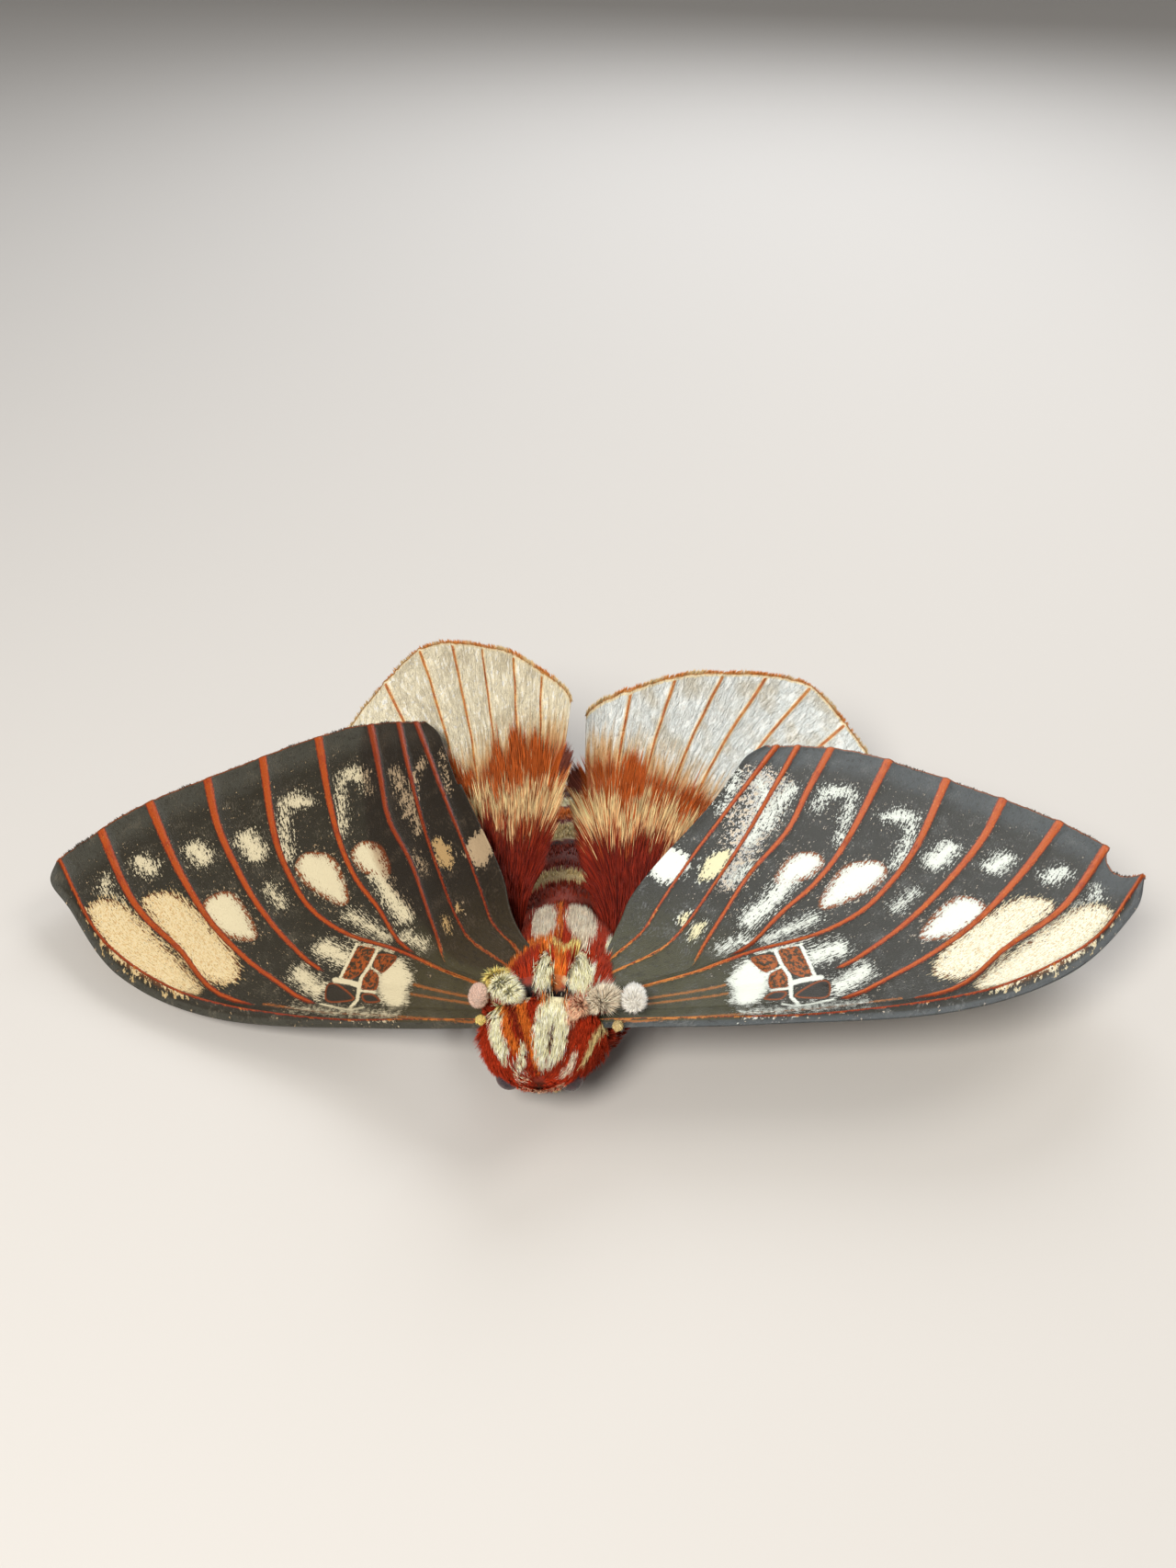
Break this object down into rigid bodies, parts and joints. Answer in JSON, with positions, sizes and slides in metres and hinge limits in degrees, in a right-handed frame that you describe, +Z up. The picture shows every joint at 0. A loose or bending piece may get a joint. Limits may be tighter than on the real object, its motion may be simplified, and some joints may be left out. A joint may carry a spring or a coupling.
{
  "type": "royal moth specimen model (Citheronia brissotii)",
  "caption": "Still life-size royal moth at rest: furry body, folded legs and feelers, four spread wings with raised veins.",
  "frame": {"origin": "middle of the whole model's box, on the floor that the feet and the tail end stand on", "axes": "+X towards the animal's left wing tip, +Y towards its tail, +Z up"},
  "size_m": [0.1032, 0.0512, 0.0242],
  "materials": {
    "coat": "dense soft hair, red-brown with cream tufts",
    "cream": "cream hair",
    "eye": "glossy dark compound eye",
    "feeler": "matt orange-brown feeler",
    "leg": "short dark red hair",
    "forewing": "scaled membrane, dark grey with orange veins and cream spots",
    "hindwing": "scaled membrane, silvery cream with orange veins and a red-brown band"
  },
  "bodies": {
    "root": {"head": "coat", "thorax": "coat", "abdomen": "coat", "eye_left": "eye", "eye_right": "eye", "palp_left": "cream", "palp_right": "cream", "tegula_left": "cream", "tegula_right": "cream", "antenna_left": "feeler", "antenna_right": "feeler", "forewing_left": "forewing", "forewing_right": "forewing", "hindwing_left": "hindwing", "hindwing_right": "hindwing", "leg_front_left": "leg", "leg_front_right": "leg", "leg_middle_left": "leg", "leg_middle_right": "leg", "leg_hind_left": "leg", "leg_hind_right": "leg"}
  },
  "joints": []
}
